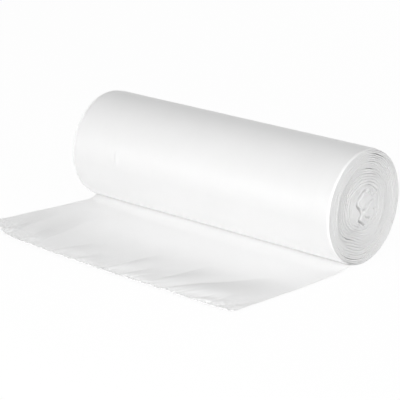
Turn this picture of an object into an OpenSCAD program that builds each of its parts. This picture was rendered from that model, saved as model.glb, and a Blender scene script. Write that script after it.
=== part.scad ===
// Roll of bin bags: one long flattened tube of thin film, perforated across between the bags, folded
// lengthwise and wound on itself without a tube. The last few turns of the winding show at both ends,
// and the leading bag lies open in front of the roll.
//
// Millimetres, Z up. X runs along the roll's axis, and the leading bag runs out along -Y. The origin is
// on the surface that the roll lies on, under the roll's axis and at the middle of its length.

/* [Web of bags] */
// Width of the folded web of bags, which is also the length of the roll
web_w = 300; // [220:5:420]
// Thickness of the web where it leaves the roll, all its layers of film together
web_t = 0.9; // [0.6:0.1:1.4]

/* [Wound roll] */
// Diameter of the wound roll
roll_d = 103.5; // [92:0.5:130]
// How far the soft roll settles onto the surface, which leaves its small flat spot
settle = 0.5; // [0.3:0.1:1]
// Radius that softens the rim at each end of the roll
shoulder_r = 2.4; // [1:0.1:3]

/* [Turns at the ends] */
// Spacing of the turns that stand apart at the ends
turn_pitch = 4; // [3:0.1:5]
// Gap between two such turns
turn_gap = 0.6; // [0.4:0.1:1]
// Depth of the gaps, in from the tips of the turns beside them
gap_depth = 2.8; // [2.6:0.1:8]
// How much deeper each inner group of turns sits than the group outside it
group_step = 0.6; // [0.3:0.1:1]

/* [Crumpled centre] */
// Diameter of the crumpled centre, where the winding was started without a tube
centre_d = 38; // [32:1:46]
// Number of loose turns in the crumpled centre
centre_turns = 2.5; // [1.5:0.25:3]
// How far the loose turns wave in and out
centre_wave = 1.2; // [0.4:0.1:1.6]
// Gap between the loose turns
centre_gap = 1.3; // [0.6:0.1:1.6]
// Widest part of the crescent gap beside the centre
crescent_gap = 3; // [1.6:0.1:3.4]

/* [Leading bag] */
// Length of the leading bag that lies open, from under the roll's axis to its torn edge
lead_len = 174; // [130:2:240]
// Stretch of it next to the roll that lies flat
lead_flat = 34; // [26:2:50]
// Height to which the torn edge curls up
edge_lift = 3.5; // [1:0.5:10]
// Height to which the far corner curls up
corner_lift = 9; // [4:0.5:20]
// How far the far corner is drawn back towards the roll
corner_back = 22; // [0:1:40]
// How far the far corner is drawn in from the side
corner_in = 7; // [0:1:15]
// Height of the tallest crease at the torn edge
crease_h = 2.4; // [0.5:0.1:4]
// Spacing of the teeth that the perforation leaves in the torn edge
tooth_pitch = 5; // [4:0.5:8]
// Depth of those teeth
tooth_depth = 1.6; // [0.5:0.1:2.5]

/* [Hidden] */
$fn = 120;
film_white = [0.95, 0.95, 0.95];
// Cutters run this far past the face that they open through
past = 1;

// The winding is a spiral of half circles. Those behind the axis share one centre, and those in front
// share a centre half a pitch higher, so each half circle ends where the next one starts.
roll_r = roll_d / 2;
axis_z = roll_r - settle;
end_x = web_w / 2;
BACK = 1;
FRONT = -1;
// Flat crest left on the rounded tip of a turn
tip_crest = 0.2;
tip_r = (turn_pitch - turn_gap - tip_crest) / 2;
// The tip's quarter round has one corner on its way, this share of its radius in from both ends
tip_corner = 0.3;
// The first half turn with a gap outside it, and the last, which always ends at the bottom
first_half = 2;
last_half = 2 * floor((roll_r - web_t - centre_d / 2) / turn_pitch) - 1;
// Half turns at which a deeper group of turns starts, the last of them the crumpled centre
group_starts = [6, last_half];

// The crumpled centre winds on from the bottom of the last gap towards the middle
centre_r = gap_r(last_half) - turn_pitch / 2;
// Part of a turn that is never wound, which leaves the middle closed
centre_left = 0.35;
centre_step = 15;
centre_end = 360 * centre_turns;
waves_per_turn = 3;
// Turning angle, from the bottom, of the middle of the crescent gap, and its spread
crescent_at = 270;
crescent_spread = 60;

// The leading bag is a grid of columns across the web and rows from the roll to the torn edge
columns = 2 * ceil(web_w / tooth_pitch);
rows = 14;
// Length of the first strip of the grid, which lies flat like the stretch behind it
first_strip = 2;
// Share of the width over which the far corner is drawn back
corner_share = 0.17;
// The near side starts to curl this far along the grid, and the far side at its start
near_curl_start = 0.45;
curl_power = 1.5;
// The creases fan out from the torn edge towards the roll. Each is [place across the torn edge,
// length, half width, height as a share of crease_h].
CREASES = [
    [128, 46, 5, 0.6],
    [86, 95, 9, 1],
    [62, 85, 8, 0.8],
    [24, 40, 5, 0.4],
    [0, 75, 6, 0.5],
    [-91, 90, 7, 0.6],
    [-124, 70, 6, 0.5],
];
// Slope across of a crease at the middle, and how much it gains for each millimetre to the near side
fan_slope = 0.2;
fan_gain = 0.003;
// How far the web reaches into the roll where it leaves it, so that the two are one
web_root = 4;

// Outer radius of the gap outside half turn number i, counted inwards
function gap_r(i) = roll_r - web_t - i * turn_pitch / 2;
// Even half turns lie behind the axis, and odd ones in front
function side_of(i) = i % 2 == 0 ? BACK : FRONT;
// Height of the centre of a gap's half circles
function gap_z(side) = side == BACK ? axis_z : axis_z + turn_pitch / 2;
// Height of the centre of the roll's own outline, whose outer turn rests on the leading bag in front
function outline_z(side) = side == BACK ? axis_z : axis_z + web_t / 2;
function outline_r(side) = side == BACK ? roll_r : roll_r - web_t / 2;
// How far inside the roll's end the tips of half turn number i lie
function tip_depth(i) = group_step * len([for (start = group_starts) if (i >= start) start]);

// Radius of the crumpled gap's outer side at turning angle a
function crumple_r(a) =
    centre_r * (1 - a / (360 * (centre_turns + centre_left)))
    + centre_wave * sin(min(a, 90)) * sin(waves_per_turn * a);
// Its width there, narrow but for the crescent
function crumple_gap(a) =
    centre_gap + (crescent_gap - centre_gap) * exp(-pow((a - crescent_at) / crescent_spread, 2));
// A point at radius r and turning angle a, counted from the bottom
function wound_point(r, a) = [r * sin(a), -r * cos(a)];

// 0 at the near side of the web and 1 at the far side
function far_share(x) = 0.5 - x / web_w;
function smooth(t) = t <= 0 ? 0 : t >= 1 ? 1 : t * t * (3 - 2 * t);
// Distance of the torn edge from under the axis
function lead_reach(x) =
    lead_len - corner_back * pow(max(0, 1 - (1 - far_share(x)) / corner_share), 2);
// Height of the curl, at share v of the way to the torn edge
function curl(x, v) =
    let (start = near_curl_start * (1 - far_share(x)))
    (edge_lift + (corner_lift - edge_lift) * pow(far_share(x), 3))
    * pow(max(0, (v - start) / (1 - start)), curl_power);
// Height of one crease at a point that lies back from the torn edge
function crease(c, x, back) =
    crease_h * c[3] * smooth(1 - back / c[1])
    * exp(-pow((x - c[0] - (fan_slope + fan_gain * c[0]) * back) / c[2], 2));
function creases(x, back) = [for (c = CREASES) crease(c, x, back)] * [for (c = CREASES) 1];
// Teeth alternate from column to column of the last row
function tooth(i, j) = j == rows && i % 2 == 1 ? tooth_depth : 0;
// Point of the web's underside at column i and row j
function lead_point(i, j) =
    let (
        x = (i / columns - 0.5) * web_w,
        v = j / rows,
        start = lead_flat + first_strip,
        along = start + v * (lead_reach(x) - start),
        z = curl(x, v) + creases(x, lead_reach(x) - along) * smooth(3 * v)
    )
    [x + corner_in * pow(far_share(x), 6) * v * v, -(along - tooth(i, j)), z];

// Lays what is drawn around Z along X, with the drawing's X pointing back and its Y up
module along_x() {
    rotate([90, 0, 90])
        children();
}

// Revolves a profile of radius and place along X through the half turn behind or in front of the axis
module half_turn(side, z) {
    translate([0, 0, z])
        along_x()
            rotate([0, 0, side == BACK ? -90 : 90])
                rotate_extrude(angle = 180)
                    children();
}

// Profile that leaves a rounded corner: everything beyond a circle in a square of side r
module corner_profile(r) {
    difference() {
        square(r + past);
        circle(r);
    }
}

// Profile of a gap between two turns, with the tips of both rounded
module gap_profile(r, tip_x) {
    floor_x = tip_x - gap_depth;
    // One side of the gap, where dir leads away from it: the wall, the rounded tip and the way out
    function gap_side(wall, dir) = [
        [wall, floor_x],
        [wall, tip_x - tip_r],
        [wall + dir * tip_corner * tip_r, tip_x - tip_corner * tip_r],
        [wall + dir * tip_r, tip_x],
        [wall + dir * tip_r, end_x + past],
    ];
    other_side = gap_side(r - turn_gap, -1);
    polygon(concat(gap_side(r, 1), [for (k = [len(other_side) - 1:-1:0]) other_side[k]]));
}

// Softens the outer rim of the roll's end
module rim_cut() {
    for (side = [BACK, FRONT])
        half_turn(side, outline_z(side))
            translate([outline_r(side) - shoulder_r, end_x - shoulder_r])
                corner_profile(shoulder_r);
}

// The spiral of gaps between the turns
module gaps_cut() {
    for (i = [first_half:last_half])
        half_turn(side_of(i), gap_z(side_of(i)))
            gap_profile(gap_r(i), end_x - tip_depth(i));
}

// Sets each inner group of turns a step deeper
module groups_cut() {
    for (start = group_starts, i = [start, start + 1])
        half_turn(side_of(i), gap_z(side_of(i)))
            translate([0, end_x - tip_depth(start)])
                square([gap_r(i) - turn_gap / 2, tip_depth(start) + past]);
}

// The wavy gap that winds into the crumpled centre
module crumple_cut() {
    angles = [for (a = [0:centre_step:centre_end]) a];
    last = len(angles) - 1;
    outer = [for (a = angles) wound_point(crumple_r(a), a)];
    inner = [for (k = [last:-1:0]) wound_point(crumple_r(angles[k]) - crumple_gap(angles[k]), angles[k])];
    depth = tip_depth(last_half) + gap_depth;
    translate([end_x - depth, 0, axis_z])
        along_x()
            linear_extrude(height = depth + past)
                polygon(concat(outer, inner));
}

// The turns wound tight: one solid, with the last millimetres of each turn free at both ends
module wound_turns() {
    difference() {
        for (side = [BACK, FRONT])
            half_turn(side, outline_z(side))
                translate([0, -end_x])
                    square([outline_r(side), web_w]);
        for (side = [0, 1])
            mirror([side, 0, 0]) {
                rim_cut();
                gaps_cut();
                groups_cut();
                crumple_cut();
            }
        translate([-end_x - past, -roll_r, -roll_r])
            cube([web_w + 2 * past, roll_d, roll_r]);
    }
}

// The flat stretch of the leading bag, from inside the foot of the roll
module lead_root() {
    translate([-end_x, -lead_flat, 0])
        cube([web_w, lead_flat + web_root, web_t]);
}

// The rest of the leading bag: a creased sheet whose torn edge and far corner curl up
module lead_sheet() {
    row_len = columns + 1;
    layer_len = row_len * (rows + 1);
    middle = columns / 2;
    root = [for (z = [0, web_t], x = [-end_x, end_x]) [x, -lead_flat, z]];
    under = [for (j = [0:rows], i = [0:columns]) lead_point(i, j)];
    over = [for (p = under) p + [0, 0, web_t]];
    // Numbers of the points: B the underside and T the top of column i and row j
    function B(i, j) = 4 + j * row_len + i;
    function T(i, j) = B(i, j) + layer_len;
    strip = [for (i = [0:columns - 1]) let (r = i < middle ? 0 : 1)
        each [[2 + r, T(i + 1, 0), T(i, 0)], [r, B(i, 0), B(i + 1, 0)]]];
    centre_and_back = [
        [2, 3, T(middle, 0)], [0, B(middle, 0), 1],
        [3, 2, 0], [3, 0, 1],
    ];
    sheet = [for (j = [0:rows - 1], i = [0:columns - 1]) each [
        [T(i, j), T(i + 1, j), T(i + 1, j + 1)], [T(i, j), T(i + 1, j + 1), T(i, j + 1)],
        [B(i, j), B(i + 1, j + 1), B(i + 1, j)], [B(i, j), B(i, j + 1), B(i + 1, j + 1)],
    ]];
    torn_edge = [for (i = [0:columns - 1]) each [
        [T(i, rows), T(i + 1, rows), B(i + 1, rows)], [T(i, rows), B(i + 1, rows), B(i, rows)],
    ]];
    near_side = concat(
        [[T(columns, 0), 3, 1], [T(columns, 0), 1, B(columns, 0)]],
        [for (j = [0:rows - 1]) each [
            [T(columns, j + 1), T(columns, j), B(columns, j)],
            [T(columns, j + 1), B(columns, j), B(columns, j + 1)],
        ]]
    );
    far_side = concat(
        [[2, T(0, 0), B(0, 0)], [2, B(0, 0), 0]],
        [for (j = [0:rows - 1]) each [
            [T(0, j), T(0, j + 1), B(0, j + 1)],
            [T(0, j), B(0, j + 1), B(0, j)],
        ]]
    );
    polyhedron(
        points = concat(root, under, over),
        faces = concat(strip, centre_and_back, sheet, torn_edge, near_side, far_side)
    );
}

// The whole web is one piece: the wound turns and the leading bag that runs out from under them
module bag_roll() {
    color(film_white) {
        wound_turns();
        lead_root();
        lead_sheet();
    }
}

bag_roll();
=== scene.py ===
"""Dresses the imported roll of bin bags: the turns of white film and the leading bag in front of them.

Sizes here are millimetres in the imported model's frame: X along the roll's axis, the leading bag out
along -Y, and Z up from the surface. A mesh is turned into metres where it becomes an object.
"""

import logging
import math
from dataclasses import dataclass
from enum import Enum
from typing import Iterable

import bmesh
import bpy
from mathutils import Matrix, Vector, noise
from mathutils.kdtree import KDTree


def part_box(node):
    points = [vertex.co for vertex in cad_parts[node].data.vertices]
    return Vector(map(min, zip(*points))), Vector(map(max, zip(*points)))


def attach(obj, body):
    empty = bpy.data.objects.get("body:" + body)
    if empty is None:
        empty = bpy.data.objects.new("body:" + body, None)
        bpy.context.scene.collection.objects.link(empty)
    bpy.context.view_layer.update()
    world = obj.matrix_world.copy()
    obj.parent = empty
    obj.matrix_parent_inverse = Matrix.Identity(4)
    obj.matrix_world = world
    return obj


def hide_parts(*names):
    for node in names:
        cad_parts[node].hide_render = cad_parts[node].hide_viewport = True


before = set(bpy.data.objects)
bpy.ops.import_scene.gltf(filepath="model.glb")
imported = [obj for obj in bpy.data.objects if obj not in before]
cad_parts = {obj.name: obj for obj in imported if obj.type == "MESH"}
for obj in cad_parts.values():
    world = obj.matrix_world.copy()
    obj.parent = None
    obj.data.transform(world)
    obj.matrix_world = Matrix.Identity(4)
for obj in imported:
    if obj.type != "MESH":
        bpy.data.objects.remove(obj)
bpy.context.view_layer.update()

LOG = logging.getLogger("bag_roll_scene")
NODE = "bag_roll"
BODY = "root"
MM = 0.001
NOTHING = 1e-6


class End(Enum):
    """The two ends of the roll, each by the sign of its side along X."""

    NEAR = 1
    FAR = -1


class Layer(Enum):
    """The two layers of film that the flat leading bag shows, each by its name."""

    LOWER = "lower"
    UPPER = "upper"


def smooth(share: float) -> float:
    """Eases a share from 0 to 1, and holds it there outside that range."""
    held = min(max(share, 0.0), 1.0)
    return held * held * (3 - 2 * held)


def mix(first: float, second: float, share: float) -> float:
    """The value at a share of the way from the first to the second."""
    return first + (second - first) * share


def swell(place: float) -> float:
    """A round bump, 1 at the middle and 0 from 1 outwards on both sides."""
    return math.cos(min(abs(place), 1.0) * math.pi / 2) ** 2


def bell(place: float) -> float:
    """A soft bump, 1 at the middle, which runs out on both sides."""
    return math.exp(-(place**2))


def fading(away: float, reach: float) -> float:
    """A share that falls from 1 with the distance, by two thirds for each reach."""
    return math.exp(-away / reach)


def rounding(radius: float, inside: float) -> float:
    """How far a rounded rim lies below its flat, at a distance inside the rim's outermost line."""
    return radius * (1 - math.sqrt(1 - max(0.0, 1 - inside / radius) ** 2))


def ripple(x: float, y: float, seed: float) -> float:
    """Smooth noise between about -1 and 1."""
    return noise.noise(Vector((x, y, seed)))


def ring_ripple(turn: float, size: float, seed: float) -> float:
    """Smooth noise around the roll, which meets itself after a turn and is finer for a greater size."""
    angle = math.tau * turn
    return ripple(math.cos(angle) * size, math.sin(angle) * size, seed)


def grey(level: float) -> tuple[float, float, float, float]:
    """A neutral colour."""
    return (level, level, level, 1.0)


@dataclass(frozen=True)
class Web:
    """The web of bags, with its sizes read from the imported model.

    Attributes:
        half_width: Half the width of the web, so half the length of the roll.
        roll_radius: Radius of the wound roll.
        axis_height: Height of the roll's axis over the surface.
        lead_reach: Distance of the torn edge from under the axis.
        settle_height: Height up to which the roll's own weight squashes it.
    """

    half_width: float
    roll_radius: float
    axis_height: float
    lead_reach: float
    settle_height: float = 4.0

    @classmethod
    def from_frame(cls) -> "Web":
        """Reads the web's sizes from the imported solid's box."""
        low, high = (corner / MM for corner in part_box(NODE))
        return cls(high.x, high.y, high.z - high.y, -low.y)

    def settled(self, height: float) -> float:
        """The height over the surface to which the roll's weight brings a point of the round roll.

        Args:
            height: Height of the point on the round roll.

        Returns:
            Its height on the roll as it lies.
        """
        settle = self.roll_radius - self.axis_height
        if height < self.settle_height:
            height = self.settle_height * (height + settle) / (self.settle_height + settle)
        return height


@dataclass(frozen=True)
class Stretch:
    """A stretch of one turn at the roll's end: a slit outside it, or an edge that stands out.

    Attributes:
        radius: Distance of its middle from the axis.
        angle: Where its middle lies, in degrees from +Y towards +Z.
        spread: Degrees from its middle to its tips.
        size: Its widest opening, or how far it stands out.
    """

    radius: float
    angle: float
    spread: float
    size: float

    def nearness(self, away: float) -> float:
        """1 at its middle and 0 past its tips, at a number of turns away from its middle."""
        return swell(away * 360 / self.spread)


@dataclass(frozen=True)
class Ramp:
    """A share that eases from 0 at its start to 1 over its width, downwards if that is negative."""

    start: float
    width: float

    def at(self, place: float) -> float:
        """The share at a place."""
        return smooth((place - self.start) / self.width)


@dataclass(frozen=True)
class Step:
    """A soft step downwards, below a place.

    Attributes:
        depth: How far it goes down.
        start: The place below which it goes down.
        width: Distance over which it goes down.
        wander: How far its start follows the wandering of the roll's rings.
    """

    depth: float
    start: float
    width: float
    wander: float = 0.0

    def drop(self, place: float, wandering: float = 0.0) -> float:
        """How far it has gone down at a place."""
        return self.depth * smooth((self.start + self.wander * wandering - place) / self.width)


@dataclass(frozen=True)
class RingNoise:
    """Smooth unevenness of the turns at the roll's ends.

    Attributes:
        height: Its greatest height, or share.
        size: How fine it is around the roll.
        change: How fast it changes from turn to turn.
        seed: Where it reads the noise, on one side for one end and on the other side for the other.
    """

    height: float
    size: float
    change: float
    seed: float = 0.0

    def at(self, end: End, turn: float) -> float:
        """The unevenness at a place in the winding."""
        return self.height * ring_ripple(turn, self.size, turn * self.change + self.seed * end.value)


@dataclass(frozen=True)
class Push:
    """A place on the roll's end where the soft turns are pushed aside.

    Attributes:
        y: Its middle's place along Y from the axis.
        z: Its middle's height over the axis.
        reach: Distance over which it fades.
        by: How far it moves the film, along Y, up, and out along the axis.
    """

    y: float
    z: float
    reach: float
    by: tuple[float, float, float]

    def at(self, y: float, z: float) -> Vector:
        """The movement that this push gives a point of the end."""
        return Vector(self.by) * bell(math.hypot(y - self.y, z - self.z) / self.reach)


@dataclass(frozen=True)
class Lump:
    """A swelling on the crumpled centre, placed from the axis."""

    y: float
    z: float
    reach: float
    height: float

    def at(self, y: float, z: float) -> float:
        """The height that the lump gives a point."""
        return self.height * bell(math.hypot(y - self.y, z - self.z) / self.reach)


@dataclass(frozen=True)
class Furrow:
    """A crack or fold line on the crumpled centre.

    Attributes:
        points: Places that it runs through, from the axis.
        depth: Its depth.
        width: Half its width.
        lip: Height of the raised lips along it.
        lip_away: How far a lip lies from the middle, in half-widths.
        run_out: Share of its length over which it runs out at both tips.
        blunt: How far it has grown at its very tips.
        pieces: Short straight pieces in which its course from one place to the next is measured.
    """

    points: tuple[tuple[float, float], ...]
    depth: float
    width: float
    lip: float = 0.0
    lip_away: float = 2.1
    run_out: float = 0.16
    blunt: float = 0.15
    pieces: int = 40

    def course(self) -> tuple[KDTree, int]:
        """Sets points closely along its smooth course.

        Returns:
            A search tree of those points, and their number.
        """
        held = [Vector(self.points[0]), *map(Vector, self.points), Vector(self.points[-1])]
        fine = []
        for before, first, second, after in zip(held, held[1:], held[2:], held[3:]):
            for piece in range(self.pieces):
                t = piece / self.pieces
                curve = 2 * first + (second - before) * t
                curve += (2 * before - 5 * first + 4 * second - after) * t**2
                curve += (3 * first - before - 3 * second + after) * t**3
                fine.append(curve / 2)
        tree = KDTree(len(fine))
        for index, point in enumerate(fine):
            tree.insert(point.to_3d(), index)
        tree.balance()
        return tree, len(fine)

    def relief(self, away: float, share: float) -> float:
        """The height that it gives a point.

        Args:
            away: Distance of the point from its middle line.
            share: Share of its length at which the point lies.

        Returns:
            The height, below 0 inside the furrow.
        """
        fade = smooth(min(share, 1 - share) / self.run_out + self.blunt)
        place = away / self.width
        return fade * (self.lip * bell(place - self.lip_away) - self.depth * bell(place))


@dataclass(frozen=True)
class EndFace:
    """What sets one end of the roll apart from the other.

    Attributes:
        slits: Where two turns stand apart.
        proud: Where one turn stands out.
        pushes: Where the turns are pushed aside.
        spin: Angle by which the crumpled centre is turned.
    """

    slits: tuple[Stretch, ...]
    proud: tuple[Stretch, ...]
    pushes: tuple[Push, ...]
    spin: float


FACES = {
    End.NEAR: EndFace(
        slits=(
            Stretch(46.5, 66, 15, 0.45),
            Stretch(32.0, 25, 50, 0.3),
            Stretch(45.0, 5, 45, 0.2),
            Stretch(33.5, 80, 14, 0.42),
            Stretch(34.0, 233, 20, 0.75),
            Stretch(46.2, 254, 26, 0.33),
            Stretch(38.0, 190, 36, 0.3),
        ),
        proud=(Stretch(37.5, 182, 50, 0.8), Stretch(27.0, 180, 60, 0.2), Stretch(44.5, 205, 30, 0.5)),
        pushes=(
            Push(22, 14, 10.0, (1.6, 0.8, -0.6)),
            Push(-12, -29, 10.0, (0.0, 3.4, -0.3)),
            Push(-31, -20, 8.0, (-0.8, -0.6, 0.0)),
            Push(-24, 8, 9.0, (-0.8, 0.2, 0.3)),
        ),
        spin=0.0,
    ),
    End.FAR: EndFace(
        slits=(
            Stretch(46.0, 130, 17, 1.0),
            Stretch(36.5, 250, 34, 0.9),
            Stretch(33.5, 20, 22, 1.0),
            Stretch(43.5, 310, 16, 0.8),
        ),
        proud=(Stretch(40.0, 90, 50, 0.8), Stretch(23.0, 0, 70, 0.6)),
        pushes=(Push(-14, -12, 9.0, (-1.6, -1.2, -0.4)), Push(20, 20, 9.0, (1.0, 0.8, 0.4))),
        spin=2.4,
    ),
}


class Wire:
    """A value in a node tree, which takes part in arithmetic."""

    def __init__(self, board: "Board", socket: bpy.types.NodeSocket) -> None:
        """Holds the socket that gives the value, and the board that the socket is on."""
        self.board = board
        self.socket = socket

    def _maths(self, operation: str, *values: "Wire | float") -> "Wire":
        """Adds the Math node of an operation on some values."""
        inputs = dict(enumerate(values))
        return self.board.node("ShaderNodeMath", {"operation": operation}, inputs)

    def __add__(self, other: "Wire | float") -> "Wire":
        """The sum."""
        return self._maths("ADD", self, other)

    def __radd__(self, other: float) -> "Wire":
        """The sum with a number on the left."""
        return self._maths("ADD", other, self)

    def __sub__(self, other: "Wire | float") -> "Wire":
        """The difference."""
        return self._maths("SUBTRACT", self, other)

    def __rsub__(self, other: float) -> "Wire":
        """The difference from a number on the left."""
        return self._maths("SUBTRACT", other, self)

    def __mul__(self, other: "Wire | float") -> "Wire":
        """The product."""
        return self._maths("MULTIPLY", self, other)

    def __rmul__(self, other: float) -> "Wire":
        """The product with a number on the left."""
        return self._maths("MULTIPLY", other, self)

    def __truediv__(self, other: "Wire | float") -> "Wire":
        """The quotient."""
        return self._maths("DIVIDE", self, other)

    def held(self) -> "Wire":
        """The value, kept between 0 and 1."""
        return self._maths("MINIMUM", self.at_least(0.0), 1.0)

    def wave(self) -> "Wire":
        """The sine of the value."""
        return self._maths("SINE", self)

    def at_least(self, other: "Wire | float") -> "Wire":
        """The greater of two values."""
        return self._maths("MAXIMUM", self, other)


class Board:
    """The node tree of one finish, or of the world, with one way of adding its nodes."""

    def __init__(self, owner: bpy.types.Material | bpy.types.World) -> None:
        """Takes over the node tree of its owner and empties it.

        Args:
            owner: The material or the world.
        """
        owner.use_nodes = True
        self.tree = owner.node_tree
        self.tree.nodes.clear()

    def node(
        self, kind: str, settings: dict | None = None, inputs: dict | None = None, out: str | int = 0
    ) -> Wire:
        """Adds a node.

        Args:
            kind: The node's type.
            settings: Its own settings, set before its sockets.
            inputs: Values or wires for its sockets, by name or number.
            out: The output that is wanted.

        Returns:
            The wire from that output.
        """
        made = self.tree.nodes.new(kind)
        for name, value in (settings or {}).items():
            setattr(made, name, value)
        for name, value in (inputs or {}).items():
            if isinstance(value, Wire):
                self.tree.links.new(value.socket, made.inputs[name])
            else:
                made.inputs[name].default_value = value
        return Wire(self, made.outputs[out]) if made.outputs else None

    def measure(self, name: str, out: str = "Fac") -> Wire:
        """Reads a value that the mesh itself carries, by its name."""
        return self.node("ShaderNodeAttribute", {"attribute_name": name}, out=out)

    def web_place(self) -> tuple[Wire, Wire, Wire]:
        """Reads where a point lies on the web: along it, across it, and how deep below the tips."""
        place = self.measure("web", "Vector")
        return tuple(self.node("ShaderNodeSeparateXYZ", None, {0: place}, out=axis) for axis in range(3))

    def noise(self, x: Wire, y: Wire, scale: float = 1.0, detail: float = 2.0) -> Wire:
        """Smooth noise from 0 to 1 over a place.

        Args:
            x: The place's first measure.
            y: Its second measure.
            scale: How fine the noise is.
            detail: How many finer layers it holds.

        Returns:
            The noise.
        """
        place = self.node("ShaderNodeCombineXYZ", None, {0: x, 1: y})
        inputs = {"Vector": place, "Scale": scale, "Detail": detail}
        return self.node("ShaderNodeTexNoise", None, inputs, out=0)

    def blend(self, share: Wire, first: float, second: float) -> Wire:
        """Blends two greys by a share."""
        inputs = {0: share, 6: grey(first), 7: grey(second)}
        return self.node("ShaderNodeMix", {"data_type": "RGBA"}, inputs, out=2)


@dataclass(frozen=True, kw_only=True)
class Finish:
    """A finish, whose kinds each say what its shader is.

    Attributes:
        name: Name of its material.
    """

    name: str

    def shader(self, board: Board) -> Wire:
        """Adds the nodes of the finish to a tree and returns its shader."""
        raise NotImplementedError

    def make(self) -> bpy.types.Material:
        """Makes the material.

        Returns:
            The material, with the shader of this finish.
        """
        material = bpy.data.materials.new(self.name)
        board = Board(material)
        board.node("ShaderNodeOutputMaterial", None, {"Surface": self.shader(board)})
        return material


@dataclass(frozen=True, kw_only=True)
class PlasticFinish(Finish):
    """What the film's flat side and its cut edges share.

    Attributes:
        mirror: How much of the light the film mirrors.
        refraction: How strongly it bends light.
        glow: Share of the light that spreads inside it.
        glow_depth: How far it spreads, in metres.
        bump: Height of the fine relief, in metres.
        bump_share: How much of that relief shows.
    """

    mirror: float = 0.3
    refraction: float = 1.5
    glow: float
    glow_depth: float
    bump: float
    bump_share: float

    def plastic(self, board: Board, relief: Wire, inputs: dict) -> Wire:
        """Adds the shader of the film.

        Args:
            board: The finish's node tree.
            relief: Height of the fine relief.
            inputs: The sockets that the finish sets for itself.

        Returns:
            The shader.
        """
        bump = {"Strength": self.bump_share, "Distance": self.bump, "Height": relief}
        shared = {
            "Normal": board.node("ShaderNodeBump", None, bump),
            "IOR": self.refraction,
            "Specular IOR Level": self.mirror,
            "Subsurface Weight": self.glow,
            "Subsurface Radius": (1.0, 1.0, 1.0),
            "Subsurface Scale": self.glow_depth,
        }
        return board.node("ShaderNodeBsdfPrincipled", None, inputs | shared)


@dataclass(frozen=True, kw_only=True)
class FilmFinish(PlasticFinish):
    """Thin white film, seen flat: faint lines along the web, soft clouding and a fine grain.

    Attributes:
        white: Level of grey where the film is densest.
        thin: Level of grey where it is thinnest.
        roughness: Roughness of the clear stretches.
        haze: How much rougher the cloudy stretches are.
        clouds: How fine the clouding is along the web and across it.
        streaks: How fine the lines are along the web and across it.
        grain: How fine the grain is.
        tone: How much of the level of grey the clouding and the lines each set.
        relief: How much of the fine relief the lines, the grain and the clouding each make.
        painted_glow: Strength of a painted glow that the film emits next to the gap between roll and
            leading bag.
        painted_glow_from: Distance along the web at which that painted glow starts, in metres.
        painted_glow_run: Distance over which it grows, in metres.
        raised: How much darker each unit of painted shade makes the film; the leading bag's mesh carries
            that shade.
    """

    white: float
    thin: float
    glow: float = 0.5
    glow_depth: float = 0.002
    bump: float = 0.00004
    bump_share: float = 0.5
    roughness: float = 0.36
    haze: float = 0.14
    clouds: tuple[float, float] = (14.0, 30.0)
    streaks: tuple[float, float] = (9.0, 520.0)
    grain: float = 1900.0
    tone: tuple[float, float] = (0.7, 0.3)
    relief: tuple[float, float, float] = (0.5, 0.35, 0.6)
    painted_glow: float
    painted_glow_from: float
    painted_glow_run: float = 0.05
    raised: float = 0.085

    def shader(self, board: Board) -> Wire:
        """Adds the nodes of the film.

        Args:
            board: The node tree to which they are added.

        Returns:
            The film's shader.
        """
        along, across, _ = board.web_place()
        cloud = board.noise(along * self.clouds[0], across * self.clouds[1], detail=3.0)
        lines = board.noise(along * self.streaks[0], across * self.streaks[1])
        grain = board.noise(along, across, scale=self.grain)
        dense = (cloud * self.tone[0] + lines * self.tone[1]).held()
        colour = board.blend(dense, self.thin, self.white)
        # Painted shade: darkens the leading bag in its creases, along its torn edge, at its corners and
        # further out from the roll.
        shade = 1.0 - self.raised * board.measure("shade")
        # Painted glow: emission that lightens the film next to the gap between roll and leading bag.
        through = self.painted_glow * ((along - self.painted_glow_from) / self.painted_glow_run).held()
        inputs = {
            "Base Color": board.node(
                "ShaderNodeVectorMath", {"operation": "SCALE"}, {0: colour, "Scale": shade}
            ),
            "Emission Color": board.node("ShaderNodeCombineColor", None, dict.fromkeys(range(3), through)),
            "Emission Strength": 1.0,
            "Roughness": self.roughness + self.haze * cloud,
        }
        relief = lines * self.relief[0] + grain * self.relief[1] + cloud * self.relief[2]
        return self.plastic(board, relief, inputs)


# Both finishes are the same white film; the wound film's much darker grey is painted shade that keeps the
# brightly lit roll from turning white.
WOUND_FILM = FilmFinish(
    name="wound_film", white=0.735, thin=0.705, mirror=0.5, painted_glow=0.14, painted_glow_from=0.422
)
LOOSE_FILM = FilmFinish(
    name="loose_film", white=0.965, thin=0.935, glow=0.0, painted_glow=0.01, painted_glow_from=0.11
)


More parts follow.
